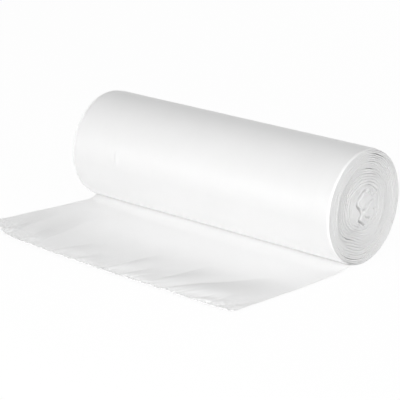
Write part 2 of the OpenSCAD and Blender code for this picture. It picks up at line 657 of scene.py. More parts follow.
@dataclass(frozen=True, kw_only=True)
class EdgeFinish(PlasticFinish):
    """The film's cut edges at the ends of the roll, where many layers lie on each other.

    Attributes:
        edge: Level of grey of the layers' edges.
        between: Level of grey deep between two turns, a painted shade.
        roughness: Roughness of the smoothest edges.
        fuzz: How much rougher the fuzzy ones are.
        lamination: Layers in a millimetre of the web's thickness.
        fade_depth: Depth below the tips at which the grey has turned fully to the painted shade between
            turns.
        drift: How fine the drift of the layers is, along the web and through it.
        drift_by: How far they drift, as an angle of their stripes.
        fibres: How fine the fuzz is, along the web and through it.
        tone: How much of the level of grey the depth's painted shade, the stripes and the fuzz each set.
        stripe_relief: Height of the stripes, as a share of the fuzz's.
    """

    name: str = "film_edges"
    edge: float = 0.93
    between: float = 0.68
    glow: float = 0.3
    glow_depth: float = 0.001
    bump: float = 0.0001
    bump_share: float = 0.6
    roughness: float = 0.4
    fuzz: float = 0.15
    lamination: float = 3.2
    fade_depth: float = 0.004
    drift: tuple[float, float] = (60.0, 0.4)
    drift_by: float = 5.0
    fibres: tuple[float, float] = (300.0, 4.0)
    tone: tuple[float, float, float] = (0.8, 0.12, 0.12)
    stripe_relief: float = 0.6

    def shader(self, board: Board) -> Wire:
        """Adds the nodes of the cut edges.

        Args:
            board: The node tree to which they are added.

        Returns:
            The edges' shader.
        """
        along, _, depth = board.web_place()
        layer = board.measure("layer")
        drift = board.noise(along * self.drift[0], layer * self.drift[1])
        stripes = (layer * (self.lamination * math.tau) + drift * self.drift_by).wave() * 0.5 + 0.5
        fuzz = board.noise(along * self.fibres[0], layer * self.fibres[1])
        # Painted shade: the deeper a point lies below the tips, the closer its grey comes to the dark grey
        # between turns.
        dark = (depth / self.fade_depth).held()
        share = (dark * self.tone[0] + stripes * self.tone[1] + fuzz * self.tone[2]).held()
        inputs = {
            "Base Color": board.blend(share, self.edge, self.between),
            "Roughness": self.roughness + self.fuzz * fuzz,
        }
        return self.plastic(board, stripes * self.stripe_relief + fuzz, inputs)


@dataclass(frozen=True, kw_only=True)
class FloorFinish(Finish):
    """A white surface that the camera sees as white, apart from the object's own shadow.

    Attributes:
        white: Level of grey of the surface itself.
        lit: Share of what the camera sees that is plain white.
    """

    name: str = "studio_floor"
    white: float = 0.98
    lit: float = 0.96

    def shader(self, board: Board) -> Wire:
        """Adds the nodes of the floor.

        Args:
            board: The node tree to which they are added.

        Returns:
            The floor's shader.
        """
        matt = board.node("ShaderNodeBsdfDiffuse", None, {"Color": grey(self.white)})
        plain = board.node("ShaderNodeEmission", None, {"Color": grey(1.0), "Strength": 1.0})
        share = self.lit * direct_rays(board)
        return board.node("ShaderNodeMixShader", None, {0: share, 1: matt, 2: plain})


def direct_rays(board: Board) -> Wire:
    """A wire that is 1 for the rays of the camera, of mirrors and of glass, and 0 for all other light.

    Args:
        board: The node tree to which its nodes are added.

    Returns:
        The wire.
    """
    camera, glossy, through = (
        board.node("ShaderNodeLightPath", out=name)
        for name in ("Is Camera Ray", "Is Glossy Ray", "Is Transmission Ray")
    )
    return camera.at_least(glossy).at_least(through)


def finish_object(
    name: str, mesh: bmesh.types.BMesh, materials: Iterable[bpy.types.Material]
) -> bpy.types.Object:
    """Turns a shape in millimetres into an object of the scene, in metres, with smooth faces.

    Args:
        name: Name of the piece.
        mesh: The shape, which is used up.
        materials: The finishes that its faces name by number.

    Returns:
        The new object, at the origin.
    """
    bmesh.ops.scale(mesh, vec=Vector((MM, MM, MM)), verts=mesh.verts)
    for face in mesh.faces:
        face.smooth = True
    data = bpy.data.meshes.new(name)
    mesh.to_mesh(data)
    mesh.free()
    for material in materials:
        data.materials.append(material)
    piece = bpy.data.objects.new(name, data)
    bpy.context.scene.collection.objects.link(piece)
    LOG.info("%s: %d faces", name, len(data.polygons))
    return piece


def close_mesh(mesh: bmesh.types.BMesh) -> None:
    """Fills what is open in a shape, and turns its faces outward."""
    bmesh.ops.holes_fill(mesh, edges=[edge for edge in mesh.edges if edge.is_boundary], sides=0)
    bmesh.ops.recalc_face_normals(mesh, faces=mesh.faces)


@dataclass(frozen=True)
class Mark:
    """A short crease across the outermost turn, with a dent beside it.

    Attributes:
        x: Its place along X.
        reach: Half its width.
        turn: Its middle's place in the winding.
        spread: Half its length, in turns.
        ridge: Its height.
        dent: Depth of the dent.
        apart: How far the dent lies from it, in half-widths.
    """

    x: float
    reach: float
    turn: float
    spread: float
    ridge: float
    dent: float
    apart: float

    def height(self, turn: float, x: float) -> float:
        """The height that it gives a point of the skin.

        Args:
            turn: The place in the winding.
            x: The place along the axis.

        Returns:
            Its height over the skin.
        """
        across = (x - self.x) / self.reach
        ridge = self.ridge * bell(across) - self.dent * bell(across + self.apart)
        return ridge * swell((turn - self.turn) / self.spread)


@dataclass(frozen=True)
class Waver:
    """A sideways unevenness of the turns at the roll's end.

    Attributes:
        size: Size of its waves.
        by: How far it moves the turns.
        grows: How it grows towards the axis, by the distance from there.
        seeds_apart: Distance between the noise that it reads along Y and along Z.
    """

    size: float
    by: float
    grows: Ramp
    seeds_apart: float

    def at(self, y: float, z: float, seed: float) -> Vector:
        """The movement that it gives a point of the end.

        Args:
            y: The point's place along Y from the axis.
            z: Its height over the axis.
            seed: Where the noise is read.

        Returns:
            The movement, as its parts along Y, up, and out along the axis.
        """
        place = (y / self.size, z / self.size)
        way = Vector((ripple(*place, seed), ripple(*place, seed + self.seeds_apart), 0))
        return way * self.by * self.grows.at(math.hypot(y, z))


@dataclass
class Winding:
    """The web wound on itself without a tube: a spiral of turns that stand apart at both ends.

    A place in the winding is counted in turns from the bottom of the outermost one, inwards.

    Attributes:
        web: The web's sizes.
        turns: Number of turns.
        first_pitch: Spacing of the outermost turns.
        pitch_growth: How much the spacing grows inwards, for each turn.
        steps: Steps of the mesh in one turn.
        gap: Gap between two turns that lie close.
        gap_least: Share of it where they lie closest.
        gap_varies: How much it varies, as a share of it.
        gap_noise: Where it is wide and where narrow.
        tip_radius: Radius that rounds the tip of a turn.
        tip_share: The most that this radius takes of the web's thickness.
        skin_tip_share: The least that it takes of the outermost turn's thickness.
        foot: Share of a wall at which its lowest point stands.
        groove: Depth of the groove along a tip, between the web's two folded halves.
        halves: How unevenly those halves stand.
        shoulder: Radius that rounds the roll's rim over its outer turns.
        skin_margin: Distance from the roll's end at which the skin's own mesh stops.
        floor_depth: Depth of the gaps between turns.
        slit_depth: How much deeper they are where two turns stand apart.
        slit_taper: Power by which a slit narrows to its tips.
        skin_columns: Columns of the skin's mesh.
        skin_spread: How much wider its columns are at the middle than on average, as a factor.
        close_turns: Turns that a slit presses together inside it.
        blend: Share of a turn over which the outermost turn passes into the next.
        waves: How a turn's tip stands out or back, in soft waves.
        jitter: How it does so unlike its neighbours.
        calm: How both grow from the outermost turn inwards.
        ring_wander: How far the rings of the end wander in and out.
        ring_turned: Angle by which that wandering is turned.
        front_steps: Steps of the end towards the front, by the distance from the axis.
        back_steps: Steps of the end towards the back.
        sunk_shade: The least share of a ring's depth that adds painted shade to it.
        front_shade: How much greater that share is at the front, a painted shade on the front of each end.
        skin_sink: How far the skin sinks at the roll's end.
        skin_reach: Distance from the end over which it sinks.
        skin_step: Its step down at the end, over the edges under it.
        skin_bands: Rings around it near the end: distance from there, half-width and depth.
        slack: Depth of its soft unevenness.
        slack_size: How fine that is around the roll.
        slack_length: Length of it along the roll.
        slack_from: Distance from the end over which it grows.
        mark: The short crease towards its far end.
        wavers: How the turns waver at the ends.
        relief_size: Size of the ends' relief.
        relief_least: Its height among the turns.
        relief_core: How much higher it is at the centre.
        end_seed: Where the ends read their noise.
        relief_seed: How far from there their relief reads its own.
    """

    web: Web
    turns: int = 16
    first_pitch: float = 1.3
    pitch_growth: float = 0.0389
    steps: int = 132
    gap: float = 0.2
    gap_least: float = 0.25
    gap_varies: float = 1.6
    gap_noise: RingNoise = RingNoise(1.0, 0.9, 1.1, 6.0)
    tip_radius: float = 0.26
    tip_share: float = 0.32
    skin_tip_share: float = 0.55
    foot: float = 0.12
    groove: float = 0.05
    halves: RingNoise = RingNoise(0.05, 3.0, 0.7)
    shoulder: float = 2.2
    skin_margin: float = 2.6
    floor_depth: float = 3.6
    slit_depth: float = 1.8
    slit_taper: float = 0.6
    skin_columns: int = 240
    skin_spread: float = 1.2
    close_turns: int = 4
    blend: float = 0.06
    waves: RingNoise = RingNoise(0.35, 2.2, 0.22, 3.7)
    jitter: RingNoise = RingNoise(0.3, 3.52, 1.3, 3.7)
    calm: Ramp = Ramp(0.6, 1.5)
    ring_wander: float = 1.2
    ring_turned: float = 0.6
    front_steps: tuple[Step, ...] = (Step(2.4, 39.5, 3.2, 1.0), Step(-1.6, 26.0, 7.0, -0.5))
    back_steps: tuple[Step, ...] = (Step(0.9, 48.0, 9.0), Step(-0.9, 31.5, 2.5, 1.0))
    sunk_shade: float = 0.15
    front_shade: float = 0.45
    skin_sink: float = 0.42
    skin_reach: float = 7.5
    skin_step: Step = Step(0.15, 3.9, 0.6)
    skin_bands: tuple[tuple[float, float, float], ...] = ((5.6, 0.9, -0.12), (8.8, 0.9, 0.09))
    slack: float = 0.16
    slack_size: float = 0.9
    slack_length: float = 85.0
    slack_from: float = 20.0
    mark: Mark = Mark(-93.5, 1.8, 0.738, 0.03, 1.3, 0.8, 1.8)
    wavers: tuple[Waver, ...] = (Waver(15, 1.1, Ramp(46, -22), 4), Waver(4.5, 0.55, Ramp(26, -12), 2))
    relief_size: float = 5.0
    relief_least: float = 0.25
    relief_core: float = 0.5
    end_seed: float = 9.0
    relief_seed: float = 7.0

    def radius(self, turn: float) -> float:
        """Outer radius at a place in the winding."""
        return self.web.roll_radius - self.first_pitch * turn - self.pitch_growth * turn**2

    def past_skin(self, turn: float) -> float:
        """0 on the outermost turn and 1 inside it."""
        return smooth((turn - 1) / self.blend + 1)

    def turn_at(self, stretch: Stretch) -> float:
        """The place in the winding nearest to the middle of a stretch.

        Args:
            stretch: The stretch.

        Returns:
            The place, in turns from the bottom of the outermost one.
        """
        part = ((stretch.angle + 90) / 360) % 1
        places = (whole + part for whole in range(self.turns))
        return min(places, key=lambda turn: abs(self.radius(turn) - stretch.radius))

    def opened(self, slit: Stretch, away: float) -> float:
        """How far a slit is open, at a number of turns away from its middle."""
        return slit.size * slit.nearness(away) ** self.slit_taper

    def opening(self, end: End, turn: float) -> float:
        """How far the gap outside a place is opened, beyond its usual width."""
        return sum(self.opened(slit, turn - self.turn_at(slit)) for slit in FACES[end].slits)

    def shift(self, end: End, turn: float) -> tuple[float, float]:
        """How far the slits press the outer and the inner wall of a turn inwards.

        Args:
            end: The end of the roll.
            turn: The place in the winding.

        Returns:
            The outer wall's shift, and the inner wall's.
        """
        outer = inner = 0.0
        for slit in FACES[end].slits:
            away = turn - self.turn_at(slit)
            for pressed in range(self.close_turns):
                near = self.opened(slit, away - pressed)
                outer += near * (1 - pressed / self.close_turns)
                inner += near * (1 - (pressed + 1) / self.close_turns)
        return outer, inner

    def walls(self, end: End, turn: float) -> tuple[float, float]:
        """The radii of a turn's two walls.

        Args:
            end: The end of the roll.
            turn: The place in the winding.

        Returns:
            The outer wall's radius, and the inner wall's.
        """
        outer, inner = self.shift(end, turn)
        gap = self.half_gap(end, turn) * self.past_skin(turn)
        return self.radius(turn) - gap - outer, self.radius(turn + 1) + self.half_gap(end, turn + 1) - inner

    def half_gap(self, end: End, turn: float) -> float:
        """Half the usual gap outside a place, wide between some turns and all but shut between others."""
        varied = max(0.0, 0.5 + self.gap_noise.at(end, turn))
        return self.gap / 2 * (self.gap_least + self.gap_varies * varied)

    def front_share(self, angle: float) -> float:
        """0 at the back of the roll's end, and 1 at its front, by the angle from its bottom."""
        return 0.5 - 0.5 * math.sin(angle)

    def group_depth(self, radius: float, angle: float) -> float:
        """How deep the group of turns at a radius sits below the roll's end.

        Args:
            radius: Distance from the axis.
            angle: Angle around it, from the bottom.

        Returns:
            The depth.
        """
        wandering = self.ring_wander * math.sin(angle + self.ring_turned)
        back = sum(step.drop(radius, wandering) for step in self.back_steps)
        front = sum(step.drop(radius, wandering) for step in self.front_steps)
        return mix(back, front, smooth(self.front_share(angle)))

    def tip(self, end: End, turn: float) -> float:
        """Distance of a turn's tip from the roll's middle, along the axis.

        Args:
            end: The end of the roll.
            turn: The place in the winding.

        Returns:
            The distance.
        """
        radius = self.radius(turn + 0.5)
        rim = rounding(self.shoulder, self.web.roll_radius - radius)
        waves = self.waves.at(end, turn) + self.jitter.at(end, turn) - self.jitter.height
        proud = sum(edge.size * edge.nearness(turn - self.turn_at(edge)) for edge in FACES[end].proud)
        uneven = self.calm.at(turn) * waves + proud
        depth = rim + self.group_depth(radius, math.tau * turn) - uneven
        return self.web.half_width - max(depth, 0.0)

    def floor(self, end: End, turn: float) -> float:
        """Distance of the floor of the gap outside a place from the roll's middle, along the axis."""
        inner = self.floor_depth + self.slit_depth * min(self.opening(end, turn), 1.0)
        return self.web.half_width - mix(self.skin_margin, inner, self.past_skin(turn))

    def skin_drop(self, turn: float, x: float) -> float:
        """How far the skin lies inside the spiral: it sinks towards both ends, over the edges under it.

        Args:
            turn: The place in the winding.
            x: The place along the axis.

        Returns:
            The distance, inwards.
        """
        inside = self.web.half_width - abs(x)
        sink = self.skin_sink * max(0.0, 1 - inside / self.skin_reach) ** 2 + self.skin_step.drop(inside)
        bands = sum(depth * swell((inside - middle) / reach) for middle, reach, depth in self.skin_bands)
        slack = self.slack * ring_ripple(turn, self.slack_size, x / self.slack_length)
        return sink + bands + slack * smooth(inside / self.slack_from) - self.mark.height(turn, x)

    def floor_radius(self, end: End, turn: float) -> float:
        """Radius of the floor of the gap outside a place, or of the skin on the outermost turn.

        Args:
            end: The end of the roll.
            turn: The place in the winding.

        Returns:
            The radius.
        """
        if turn <= 1 - NOTHING:
            return self.radius(turn) - self.skin_drop(turn, self.floor(end, turn))
        return (self.walls(end, turn - 1)[1] + self.walls(end, turn)[0]) / 2

    def profile(self, end: End, turn: float) -> list[tuple[float, float, float]]:
        """The section of one turn at the roll's end.

        Args:
            end: The end of the roll.
            turn: The place in the winding.

        Returns:
            Points from the floor outside the turn over its tip to the floor inside it, each as its
            radius, its distance from the roll's middle, and the web's thickness up to it.
        """
        outer, inner = self.walls(end, turn)
        tip = self.tip(end, turn)
        floor, next_floor = self.floor(end, turn), self.floor(end, turn + 1)
        size = min(self.tip_radius, (outer - inner) * self.tip_share)
        if turn < 1:
            outer -= self.skin_drop(turn, tip - size) * (1 - self.past_skin(turn))
            skin_size = max(size, self.skin_tip_share * (outer - inner))
            size = mix(skin_size, size, self.past_skin(turn))
        corner = size * (1 - math.sqrt(0.5))
        crest = (outer - size, inner + min(size, self.tip_radius))
        uneven = self.halves.at(end, turn)
        points = [
            (self.floor_radius(end, turn), floor),
            (outer, mix(floor, tip - size, self.foot)),
            (outer, tip - size),
            (outer - corner, tip - corner),
            (crest[0], tip + uneven),
            ((crest[0] + crest[1]) / 2, tip - self.groove),
            (crest[1], tip - uneven),
            (inner + corner, tip - corner),
            (inner, tip - size),
            (inner, mix(next_floor, tip - size, self.foot)),
            (self.floor_radius(end, turn + 1), next_floor),
        ]
        return [(radius, x, outer - radius) for radius, x in points]

    def crumple(self, end: End, y: float, z: float) -> Vector:
        """How the pushes and a soft unevenness move a point of the end's face.

        Args:
            end: The end of the roll.
            y: The point's place along Y from the axis.
            z: Its height over the axis.

        Returns:
            The movement, as its parts along Y, up, and out along the axis.
        """
        seed = self.end_seed * end.value
        moved = sum((push.at(y, z) for push in FACES[end].pushes), Vector())
        moved += sum((waver.at(y, z, seed) for waver in self.wavers), Vector())
        inside, core = (waver.grows.at(math.hypot(y, z)) for waver in self.wavers)
        relief = (self.relief_least + self.relief_core * core) * inside
        relief *= ripple(y / self.relief_size, z / self.relief_size, seed + self.relief_seed)
        return moved + Vector((0, 0, relief))

    def place(self, end: End, turn: float, radius: float, x: float) -> Vector:
        """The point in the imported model's frame at a place of the winding.

        Args:
            end: The end of the roll.
            turn: The place in the winding, which gives the angle.
            radius: Distance from the axis.
            x: Distance from the roll's middle, along the axis.

        Returns:
            The point, on the end as crumpled and the roll as settled.
        """
        angle = math.tau * turn
        y, z = radius * math.sin(angle), -radius * math.cos(angle)
        moved = self.crumple(end, y, z) if turn > 1 else Vector()
        deep = smooth((self.web.half_width - x) / self.floor_depth)
        height = self.web.settled(self.web.axis_height + z + moved.y)
        return Vector((end.value * (x + moved.z * (1 - deep)), y + moved.x, height))

    def along(self, turn: float) -> float:
        """Distance of a place in the winding from the torn edge, along the web."""
        shrink = self.first_pitch * turn**2 / 2 + self.pitch_growth * turn**3 / 3
        return self.web.lead_reach + math.tau * (self.web.roll_radius * turn - shrink)

    def add_end(self, mesh: bmesh.types.BMesh, end: End) -> None:
        """Adds the spiral of tips and gaps at one end of the roll.

        Args:
            mesh: The winding's mesh.
            end: The end of the roll.
        """
        spots = len(self.profile(end, 0.0)) - 1
        rows = self.turns * self.steps
        made = bmesh.ops.create_grid(mesh, x_segments=spots, y_segments=rows, size=0.5)["verts"]
        web_layer = mesh.verts.layers.float_vector["web"]
        thickness_layer = mesh.verts.layers.float["layer"]
        profiles = [self.profile(end, row / self.steps) for row in range(rows + 1)]
        for vert in made:
            spot = round((vert.co.x + 0.5) * spots)
            row = round((vert.co.y + 0.5) * rows)
            turn = row / self.steps
            angle = math.tau * turn
            radius, x, thickness = profiles[row][spot]
            tip = profiles[row][3][1]
            vert.co = self.place(end, turn + (spot == spots), radius, x)
            # Painted shade for the ends' finish: deeper between the turns and in sunk rings, and more at
            # the front of each end.
            sunk = self.sunk_shade + self.front_shade * self.front_share(angle) ** 2
            depth = max(0.0, tip - x) + sunk * self.group_depth(radius, angle)
            vert[web_layer] = Vector((self.along(turn), end.value * x, depth)) * MM
            vert[thickness_layer] = thickness
        for face in {face for vert in made for face in vert.link_faces}:
            face.material_index = 1

    def add_skin(self, mesh: bmesh.types.BMesh) -> None:
        """Adds the outside of the outermost turn, between the meshes of the ends.

        Args:
            mesh: The winding's mesh.
        """
        columns, rows = self.skin_columns, self.steps
        made = bmesh.ops.create_grid(mesh, x_segments=columns, y_segments=rows, size=0.5)["verts"]
        web_layer = mesh.verts.layers.float_vector["web"]
        for vert in made:
            turn = round((vert.co.y + 0.5) * rows) / rows
            share = 2 * vert.co.x
            reach = self.floor(End.NEAR, turn)
            x = reach * (self.skin_spread * share + (1 - self.skin_spread) * share**3)
            if abs(share) > 1 - NOTHING:
                x = math.copysign(reach, share)
            radius = self.radius(turn) - self.skin_drop(turn, x)
            if turn > 1 - NOTHING:
                radius = self.floor_radius(End.NEAR, turn)
            end = End.NEAR if x > 0 else End.FAR
            vert.co = self.place(end, turn, radius, abs(x))
            vert[web_layer] = Vector((self.along(turn), x, 0)) * MM

    def build(self, film: bpy.types.Material, edges: bpy.types.Material) -> bpy.types.Object:
        """Builds the whole winding as one closed mesh.

        Args:
            film: Finish of the outside.
            edges: Finish of the ends.

        Returns:
            The winding.
        """
        mesh = bmesh.new()
        mesh.verts.layers.float_vector.new("web")
        mesh.verts.layers.float.new("layer")
        self.add_skin(mesh)
        for end in End:
            self.add_end(mesh, end)
        bmesh.ops.remove_doubles(mesh, verts=mesh.verts, dist=0.002)
        close_mesh(mesh)
        piece = finish_object("wound_turns", mesh, (film, edges))
        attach(piece, BODY)
        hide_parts(NODE)
        return piece


@dataclass
class Core:
    """The crumpled centre of the winding, as each end shows it.

    Attributes:
        winding: The turns around it.
        cells: Cells of its mesh from side to side.
        wall_share: Share of the mesh that forms its face, before its wall.
        wall_depth: How far its wall reaches into the roll.
        clear: Distance that it keeps from the turns.
        joint: Share of a turn over which its rim steps back to where it started.
        sunk: How far its face lies below the rings around it.
        rim: Radius that rounds its rim.
        rim_calm: Distance from its rim over which its relief grows.
        ring: Spacing of the turns that still show around it.
        ring_depth: Depth of the lines between them.
        ring_line: Half the width of those lines.
        ring_from: How the lines grow with the distance from the axis.
        shade_from: Height over its face below which it takes painted shade.
        shade_share: How much painted shade its depth gives it.
        web_radius: Radius at which its place on the web is counted.
        layers_vary: How unevenly its layers of film lie.
        layers_size: Size of that unevenness.
        layers_seed: Where it reads the noise.
        counted_turn: Turn in which its points are counted, so that they move as the inner turns do.
        furrows: Cracks and fold lines, the main crack first.
        lumps: Swellings between them.
    """

    winding: Winding
    cells: int = 168
    wall_share: float = 0.92
    wall_depth: float = 9.0
    clear: float = 0.1
    joint: Ramp = Ramp(0.95, 0.05)
    sunk: float = 0.35
    rim: float = 0.9
    rim_calm: float = 2.5
    ring: float = 2.1
    ring_depth: float = 0.55
    ring_line: float = 0.3
    ring_from: Ramp = Ramp(11.5, 3.0)
    shade_from: float = 0.6
    shade_share: float = 0.8
    web_radius: float = 12.0
    layers_vary: float = 0.8
    layers_size: float = 6.0
    layers_seed: float = 3.0
    counted_turn: int = 2
    furrows: tuple[Furrow, ...] = (
        Furrow(
            (
                (5.0, 16.0), (0.5, 15.0), (-3.4, 13.3), (-7.5, 10.0), (-10.0, 5.9), (-9.3, 2.0),
                (-5.8, -1.2), (-4.4, -4.0), (-4.6, -6.8), (-6.6, -10.0), (-2.7, -13.5), (5.0, -17.0),
            ),
            5.2, 0.85, 0.5,
        ),
        Furrow(((-2.5, -1.5), (2.0, -2.6), (5.5, -1.4), (9.0, 2.6), (14.0, 5.0)), 1.9, 0.9, 0.3),
        Furrow(((3.2, -3.0), (2.2, -6.5), (5.0, -9.5), (11.0, -10.0)), 1.6, 0.9, 0.3),
        Furrow(((8.0, 13.5), (9.5, 9.5), (13.5, 8.5), (17.0, 10.5)), 1.2, 0.9, 0.2),
        Furrow(((10.5, -4.5), (14.0, -3.2), (17.5, -4.2)), 1.0, 0.8, 0.2),
        Furrow(((0.5, 11.5), (4.5, 11.8), (7.5, 9.0)), 0.9, 0.8, 0.2),
        Furrow(((12.0, -13.5), (15.5, -9.0), (16.5, -4.0)), 0.8, 0.8, 0.2),
    )
    lumps: tuple[Lump, ...] = (
        Lump(1.3, 6.2, 5.6, 2.2),
        Lump(9.8, -2.6, 4.6, 1.5),
        Lump(6.5, -6.5, 4.0, 0.9),
        Lump(-0.8, -6.5, 3.4, 1.1),
        Lump(12.5, 7.0, 4.5, 0.9),
        Lump(-12.5, -4.0, 6.0, 0.5),
    )

    def rim_radius(self, turn: float) -> float:
        """Radius of the core, which follows the spiral's inside.

        Args:
            turn: Share of a turn from the bottom.

        Returns:
            The radius.
        """
        inner = self.winding.radius(self.winding.turns + turn)
        start = self.winding.radius(self.winding.turns)
        return mix(inner, start, self.joint.at(turn)) - self.clear

    def relief(self, courses: list[tuple[KDTree, int]], y: float, z: float) -> float:
        """Height of the crumpled face at a point.

        Args:
            courses: The course of each furrow, and its number of points.
            y: The point's place along Y from the axis.
            z: Its height over the axis.

        Returns:
            The height.
        """
        height = sum(lump.at(y, z) for lump in self.lumps)
        for furrow, (course, count) in zip(self.furrows, courses):
            _, index, away = course.find((y, z, 0))
            height += furrow.relief(away, index / (count - 1))
        return height

    def build(self, edges: bpy.types.Material) -> None:
        """Builds the face of the centre at both ends."""
        for end in End:
            self.build_end(end, edges)

    def build_end(self, end: End, edges: bpy.types.Material) -> None:
        """Builds the face of the centre at one end, with a wall that reaches into the roll.

        Args:
            end: The end of the roll.
            edges: Finish of the web's edges.
        """
        mesh = bmesh.new()
        web_layer = mesh.verts.layers.float_vector.new("web")
        thickness_layer = mesh.verts.layers.float.new("layer")
        bmesh.ops.create_grid(mesh, x_segments=self.cells, y_segments=self.cells, size=1.0)
        cosine, sine = math.cos(FACES[end].spin), math.sin(FACES[end].spin)
        courses = [furrow.course() for furrow in self.furrows]
        half_width = self.winding.web.half_width
        for vert in mesh.verts:
            square = max(abs(vert.co.x), abs(vert.co.y))
            angle = math.atan2(vert.co.y, vert.co.x)
            turn = (angle / math.tau + 0.25) % 1
            radius = self.rim_radius(turn) * min(square / self.wall_share, 1.0)
            y, z = radius * math.cos(angle), radius * math.sin(angle)
            y, z = y * cosine - z * sine, y * sine + z * cosine
            inside = self.rim_radius(turn) - radius
            lines = (inside / self.ring + turn) % 1
            line = bell(min(lines, 1 - lines) * self.ring / self.ring_line) * self.ring_from.at(radius)
            level = half_width - self.winding.group_depth(radius, math.tau * turn) - self.sunk
            relief = self.relief(courses, y, z) if square else 0.0
            top = level + relief * smooth(inside / self.rim_calm)
            top -= rounding(self.rim, inside) + line * self.ring_depth * smooth(inside)
            top = min(top, half_width)
            # Painted shade in its hollows and furrows, full on its wall inside the roll.
            depth = max(0.0, level + self.shade_from - top)
            if square > self.wall_share:
                top -= self.wall_depth * (square - self.wall_share) / (1 - self.wall_share)
                depth = self.wall_depth
            vert.co = self.winding.place(end, turn + self.counted_turn, radius, top)
            place = (angle * self.web_radius, end.value * top, depth * self.shade_share)
            vert[web_layer] = Vector(place) * MM
            uneven = ripple(y / self.layers_size, z / self.layers_size, self.layers_seed)
            vert[thickness_layer] = inside + self.layers_vary * uneven
        close_mesh(mesh)
        piece = finish_object(f"crumpled_centre_{end.name.lower()}", mesh, (edges,))
        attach(piece, BODY)


@dataclass(frozen=True)
class Crease:
    """A crease that runs in from the torn edge, with painted shade beside its sharp side.

    Attributes:
        start: Place along X at which its sharp side meets the torn edge.
        lean: How far that side runs to the near side for each millimetre that it runs in.
        length: How far it runs in.
        width: How far its steep side reaches, to the near side, or to the far side if it is negative.
        height: Its greatest height.
        peak: Share of its length at which it is highest.
        easy: Width of its gentle side, as a share of its steep one.
        wander: How far its sharp side wanders.
        wander_length: Length of one bend of that side.
        slim: Its width at the torn edge, as a share of its greatest.
        low: Its height there, as a share of its greatest.
        dark_height: Height of a crease that gives the film its full painted shade.
        dark_most: The most painted shade that a higher one gives.
        dark_edge: How sharply the painted shade starts at the sharp side.
        dark_fall: How it goes again on the gentle side.
        wander_seed: Where the wandering reads its noise.
        easy_reach: How many widths of the gentle side are counted.
    """

    start: float
    lean: float
    length: float
    width: float
    height: float
    peak: float = 0.25
    easy: float = 1.8
    wander: float = 1.5
    wander_length: float = 30.0
    slim: float = 0.3
    low: float = 0.25
    dark_height: float = 2.4
    dark_most: float = 1.3
    dark_edge: float = 6.0
    dark_fall: Ramp = Ramp(-0.3, 1.9)
    wander_seed: float = 4.0
    easy_reach: float = 3.0

    def at(self, x: float, back: float) -> tuple[float, float]:
        """The crease at a point of the bag.

        Args:
            x: Its place across the web.
            back: How far it lies back from the torn edge.

        Returns:
            The height of the crease there, and its painted shade.
        """
        if back >= self.length:
            return 0.0, 0.0
        bend = self.wander * ripple(back / self.wander_length, self.start, self.wander_seed)
        edge = self.start + self.lean * back + bend
        share = back / self.length
        grown = smooth(share / self.peak)
        away = (x - edge) / (self.width * mix(self.slim, 1, grown)) - 1
        if away < -1 or away > self.easy_reach * self.easy:
            return 0.0, 0.0
        run = smooth((1 - share) / (1 - self.peak)) * mix(self.low, 1, grown)
        flank = bell(away / self.easy) if away > 0 else 1 - away**2
        dark = smooth(self.dark_edge * (away + 1)) * (1 - self.dark_fall.at(away))
        return self.height * run * flank, min(self.height / self.dark_height, self.dark_most) * run * dark


@dataclass(frozen=True)
class Grain:
    """Fine unevenness of the bag, or of its painted shade, which fades away from the torn edge.

    Attributes:
        across: Its size across the web.
        along: Its size along the web.
        height: Its greatest height, or its most painted shade.
        fade: Distance over which it fades.
        seed: Where it reads the noise.
    """

    across: float
    along: float
    height: float
    fade: float
    seed: float

    def at(self, x: float, back: float) -> float:
        """The unevenness at a point."""
        return self.height * ripple(x / self.across, back / self.along, self.seed) * fading(back, self.fade)


@dataclass(frozen=True)
class Perforation:
    """The torn edge: its teeth, and the wandering of the line on which they stand.

    Attributes:
        spacing: Distance from one tooth to the next.
        shift: How far a tooth lies from its even place, as a share of that distance.
        depth: Depth of a notch.
        taper: Power by which a notch narrows.
        least: Size of the smallest notches, as a share of that depth.
        varies: How much greater others are.
        wander: How far the line wanders to both sides.
        most: The most that the edge lies behind its line.
        shift_size: Size of the waves in which the teeth shift.
        change: How much the notches' noise changes from one notch to the next.
        notch_noise: Where the notches read it.
        wander_size: Size of the line's waves.
        line_noise: Where the line reads its own noise, and how far that is from the notches'.
    """

    spacing: float = 2.6
    shift: float = 0.35
    depth: float = 1.5
    taper: float = 1.6
    least: float = 0.36
    varies: float = 0.88
    wander: float = 0.45
    most: float = 3.2
    shift_size: float = 9.0
    change: float = 0.73
    notch_noise: float = 3.1
    wander_size: float = 23.0
    line_noise: tuple[float, float] = (1.7, 3.0)

    def behind(self, x: float, seed: float) -> float:
        """How far the edge lies behind its own line.

        Args:
            x: The place across the web.
            seed: Where the noise is read.

        Returns:
            The distance.
        """
        tooth = x / self.spacing + self.shift * ripple(x / self.shift_size, 0, seed)
        number = math.floor(tooth)
        notch = abs(2 * (tooth - number) - 1) ** self.taper
        size = self.least + self.varies * abs(ripple(number * self.change, self.notch_noise, seed))
        place, away = self.line_noise
        wander = self.wander + self.wander * ripple(x / self.wander_size, place, seed + away)
        return min(self.depth * size * notch + wander, self.most)


TORN_SEEDS = {Layer.LOWER: 34.0, Layer.UPPER: 21.0}


